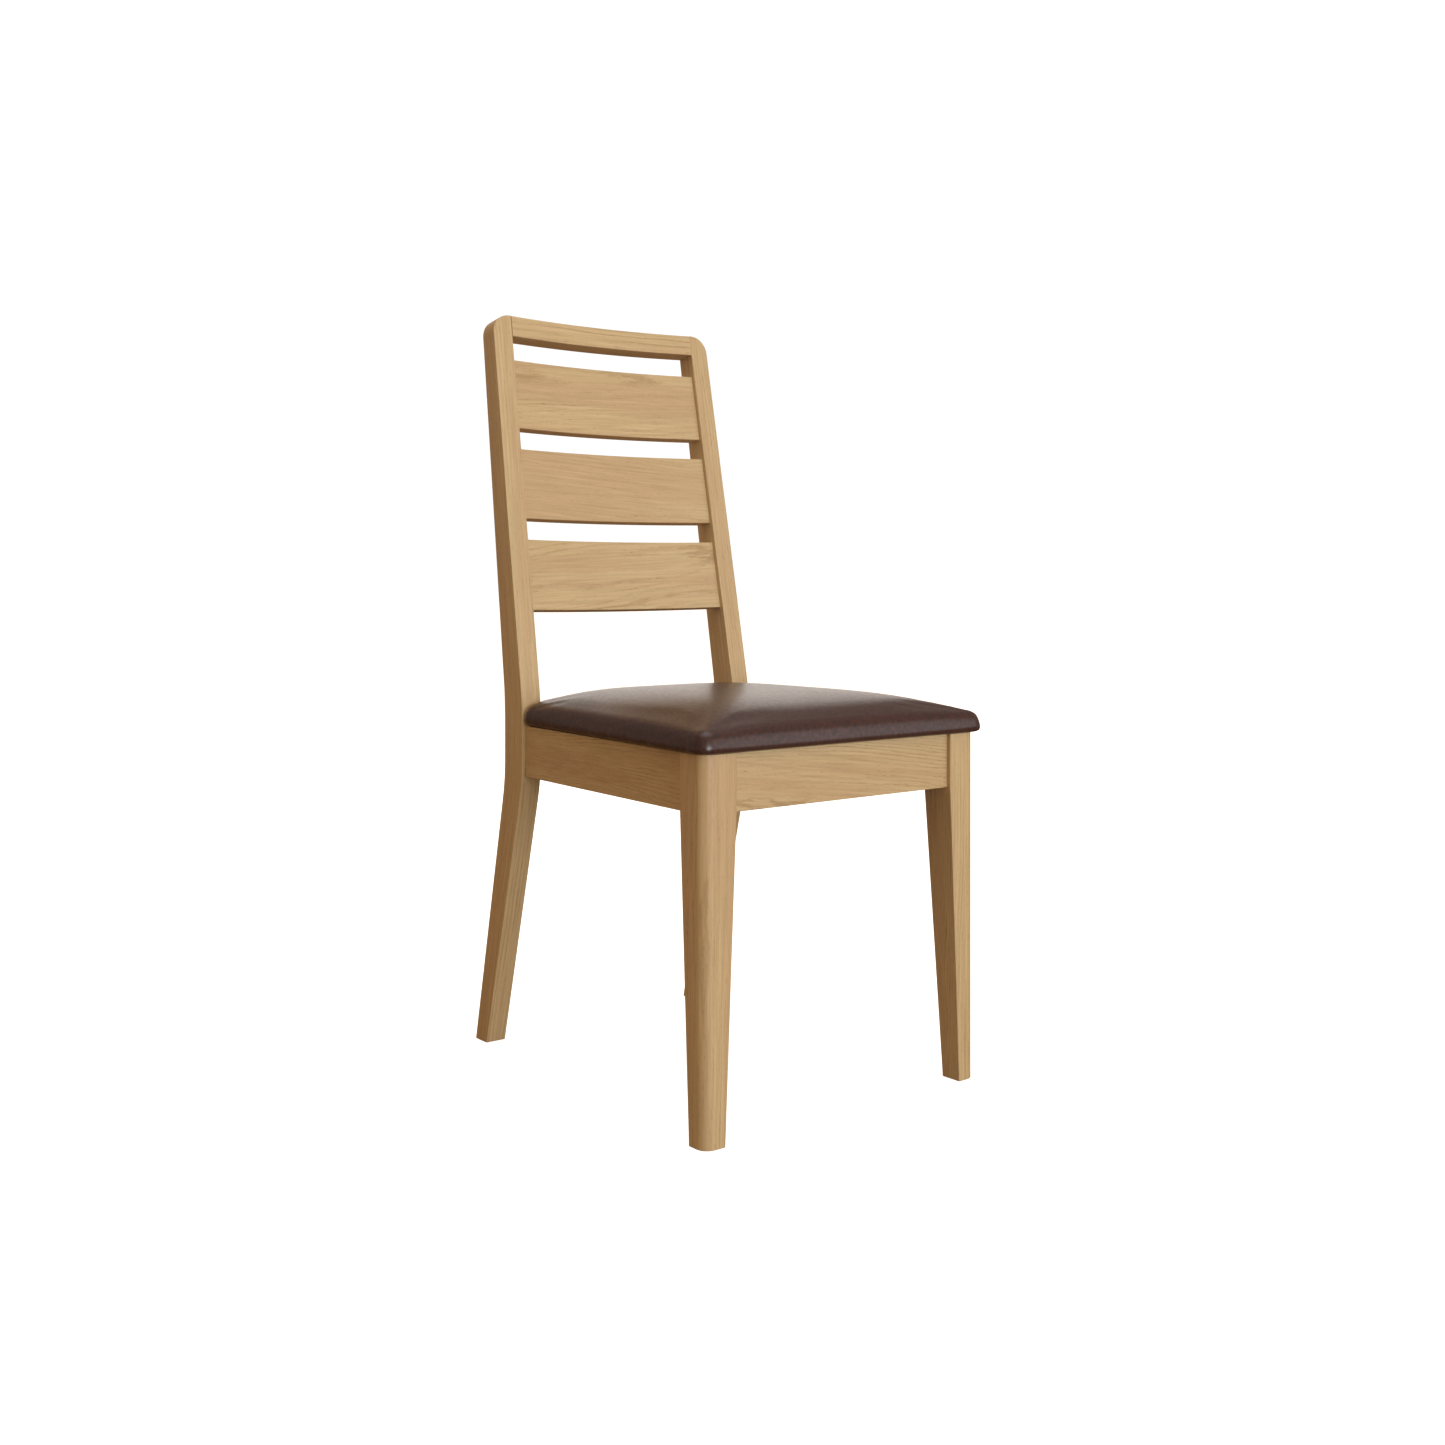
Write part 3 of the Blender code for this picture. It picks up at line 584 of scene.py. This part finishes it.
def swollen(piece):
    """Blows the piece up as cloth under pressure, with its underside and the part between the posts held.

    No point ends more than SWELL_LIMIT from where it began.
    """
    held = piece.vertex_groups.new(name="held")
    before = [vertex.co.copy() for vertex in piece.data.vertices]
    for number, place in enumerate(before):
        low = (SEAT_WIDEST - place.z) / (SEAT_WIDEST - SEAT_BOTTOM)
        near_posts = (place.y - POST_HOLD_FROM) / POST_HOLD_OVER
        held.add([number], min(max(2 * low, near_posts, 0.0), 1.0), "REPLACE")
    cloth = piece.modifiers.new("cloth", "CLOTH")
    cloth.settings.vertex_group_mass = held.name
    cloth.settings.use_pressure = True
    cloth.settings.uniform_pressure_force = SWELL_PRESSURE
    cloth.settings.effector_weights.gravity = 0.0
    cloth.settings.tension_stiffness = SWELL_STIFFNESS
    cloth.settings.compression_stiffness = SWELL_STIFFNESS
    cloth.settings.bending_stiffness = SWELL_BENDING
    for number in range(1, SWELL_FRAMES + 1):
        bpy.context.scene.frame_set(number)
    frozen(piece)
    for vertex, start in zip(piece.data.vertices, before):
        moved = vertex.co - start
        if moved.length > 0.0:
            vertex.co = start + moved * SWELL_LIMIT * math.tanh(moved.length / SWELL_LIMIT) / moved.length
    bpy.context.scene.frame_set(1)


def make_cushion():
    """A closed body of leather over foam, with its hem turned in and a recess below for the board."""
    cushion = loft("seat_cushion", cushion_rings())
    even = cushion.modifiers.new("even", "REMESH")
    even.voxel_size = VOXEL
    frozen(cushion)
    swollen(cushion)
    cushion.modifiers.new("soften", "SMOOTH").iterations = SMOOTH_PASSES
    cushion.modifiers.new("fine", "SUBSURF").levels = 1
    frozen(cushion)
    recess = loft("board_recess", recess_rings())
    hollow = cushion.modifiers.new("recess", "BOOLEAN")
    hollow.operation = "DIFFERENCE"
    hollow.object = recess
    frozen(cushion)
    bpy.data.objects.remove(recess)
    cushion.data.materials.clear()
    cushion.data.materials.append(make_leather())
    cushion.data.shade_smooth()
    cushion.data.set_sharp_from_angle(angle=SHARP_ANGLE)
    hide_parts("seat_cover", "seat_foam")
    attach(cushion, "root")


# Dust cloth

CLOTH_FRONT_HALF = 0.18575
CLOTH_REAR_HALF = 0.1700
CLOTH_CORNER = 0.092  # how much is cut off each corner, along either edge
CLOTH_SAG = 0.0012
CLOTH_RIPPLE = 0.0004
CLOTH_STEPS = 48


def cloth_half_width(back):
    """Half the cloth's width, a share of the way from its front edge to its rear edge."""
    low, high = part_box("dust_cover")
    from_end = min(back, 1 - back) * (high.y - low.y)
    side = CLOTH_FRONT_HALF + (CLOTH_REAR_HALF - CLOTH_FRONT_HALF) * back
    return side - max(CLOTH_CORNER - from_end, 0.0)


def make_dust_cloth():
    """A thin cloth stretched flat under the seat, cut off at its corners and sagging a little."""
    low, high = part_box("dust_cover")
    shape = bmesh.new()
    rows = []
    for i in range(CLOTH_STEPS + 1):
        back = i / CLOTH_STEPS
        y = low.y + (high.y - low.y) * back
        row = []
        for j in range(CLOTH_STEPS + 1):
            across = 2 * j / CLOTH_STEPS - 1
            ripple = CLOTH_RIPPLE * math.sin(41 * across + 7 * back) * math.sin(3.1 * across + 23 * back)
            sag = (CLOTH_SAG + ripple) * (1 - across**2) * (1 - (2 * back - 1) ** 2)
            row.append(shape.verts.new((across * cloth_half_width(back), y, high.z - sag)))
        rows.append(row)
    for row, following in zip(rows, rows[1:]):
        for j in range(CLOTH_STEPS):
            shape.faces.new((row[j], following[j], following[j + 1], row[j + 1]))
    mesh = bpy.data.meshes.new("dust_cloth")
    shape.to_mesh(mesh)
    shape.free()
    cloth = bpy.data.objects.new("dust_cloth", mesh)
    bpy.context.scene.collection.objects.link(cloth)
    thick = cloth.modifiers.new("thickness", "SOLIDIFY")
    thick.thickness = high.z - low.z
    frozen(cloth)
    cloth.data.materials.append(make_dust_cloth_material())
    cloth.data.shade_smooth()
    cloth.data.set_sharp_from_angle(angle=SHARP_ANGLE)
    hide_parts("dust_cover")
    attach(cloth, "root")


dress_wood()
dress_hidden_parts()
make_cushion()
make_dust_cloth()


# Studio

FLOOR_REACH = 30.0
SENSOR_WIDTH = 36.0
# Solved from the straight edges of the chair in the photo
CAMERA_LENS = 40.06
CAMERA_SHIFT = -0.1021
CAMERA_PLACE = (-1.3087, -1.6817, 0.6408)
CAMERA_HEADING = -0.67006


def make_floor():
    """Paper that the camera sees pale and glowing like a light table, and other light as dull brown."""
    reach = FLOOR_REACH
    mesh = bpy.data.meshes.new("floor")
    corners = [(-reach, -reach, 0.0), (reach, -reach, 0.0), (reach, reach, 0.0), (-reach, reach, 0.0)]
    mesh.from_pydata(corners, [], [(0, 1, 2, 3)])
    floor = bpy.data.objects.new("floor", mesh)
    bpy.context.scene.collection.objects.link(floor)
    material, tree, shader = new_material("floor_paper")
    seen = add(tree, "ShaderNodeLightPath").outputs["Is Camera Ray"]
    grain = noise(tree, add(tree, "ShaderNodeTexCoord").outputs["Object"], 40.0)
    paper = ramp(tree, grain, ((0.3, (0.86, 0.86, 0.86)), (0.7, (0.88, 0.88, 0.88))))
    paper = mixed(tree, seen, (0.19, 0.115, 0.06, 1.0), paper)
    tree.links.new(paper, shader.inputs["Base Color"])
    tree.links.new(remap(tree, seen, 0.0, 1.0, 0.0, 0.85), shader.inputs["Emission Strength"])
    shader.inputs["Roughness"].default_value = 0.9
    shader.inputs["Emission Color"].default_value = (1.0, 1.0, 1.0, 1.0)
    mesh.materials.append(material)


def make_softbox(name, place, target, size, power, colour):
    """A rectangular light that faces its target, of (width, height) in metres and a power in watts."""
    lamp = bpy.data.lights.new(name, "AREA")
    lamp.shape = "RECTANGLE"
    lamp.size, lamp.size_y = size
    lamp.energy = power
    lamp.color = colour
    light = bpy.data.objects.new(name, lamp)
    light.location = place
    light.rotation_euler = (Vector(target) - Vector(place)).to_track_quat("-Z", "Y").to_euler()
    light.visible_camera = False
    bpy.context.scene.collection.objects.link(light)
    return light


def make_surroundings(ambient):
    """An even room, white to the camera. `ambient` is how strongly its warm light falls on the chair."""
    world = bpy.data.worlds.new("studio")
    world.use_nodes = True
    tree = world.node_tree
    glow = tree.nodes["Background"]
    seen = add(tree, "ShaderNodeLightPath").outputs["Is Camera Ray"]
    mirrored = add(tree, "ShaderNodeLightPath").outputs["Is Glossy Ray"]
    tree.links.new(remap(tree, seen, 0.0, 1.0, ambient, 1.05), glow.inputs["Strength"])
    colour = mixed(tree, mirrored, (1.07, 0.71, 0.42, 1.0), (0.50, 0.41, 0.37, 1.0))
    tree.links.new(mixed(tree, seen, colour, (1.0, 1.0, 1.0, 1.0)), glow.inputs["Color"])
    bpy.context.scene.world = world


def make_camera():
    lens = bpy.data.cameras.new("camera")
    lens.sensor_width = SENSOR_WIDTH
    lens.lens = CAMERA_LENS
    lens.shift_y = CAMERA_SHIFT
    camera = bpy.data.objects.new("camera", lens)
    camera.location = CAMERA_PLACE
    camera.rotation_euler = (math.radians(90), 0.0, CAMERA_HEADING)
    bpy.context.scene.collection.objects.link(camera)
    bpy.context.scene.camera = camera


make_floor()
make_softbox("key", (-0.4, -6.0, 0.95), (0.0, 0.0, 0.45), (2.6, 1.8), 172, (0.97, 1.0, 1.04))
make_softbox("right", (3.6, -4.4, 1.5), (0.0, 0.0, 0.45), (3.0, 3.0), 40, (0.97, 1.0, 1.04))
make_softbox("back", (2.6, 4.6, 1.5), (0.0, 0.0, 0.6), (4.0, 2.6), 44, (1.0, 0.93, 0.85))
behind = make_softbox("behind", (0.0, 5.0, 1.4), (0.0, 0.0, 0.5), (3.0, 2.4), 70, (1.0, 0.97, 0.92))
behind.visible_glossy = False  # it would wash out the top of the seat
make_softbox("top", (0.0, -0.2, 3.0), (0.0, 0.0, 0.4), (2.5, 2.5), 28, (0.90, 0.97, 1.05))
make_surroundings(0.52)
make_camera()
bpy.context.scene.view_settings.view_transform = "Standard"
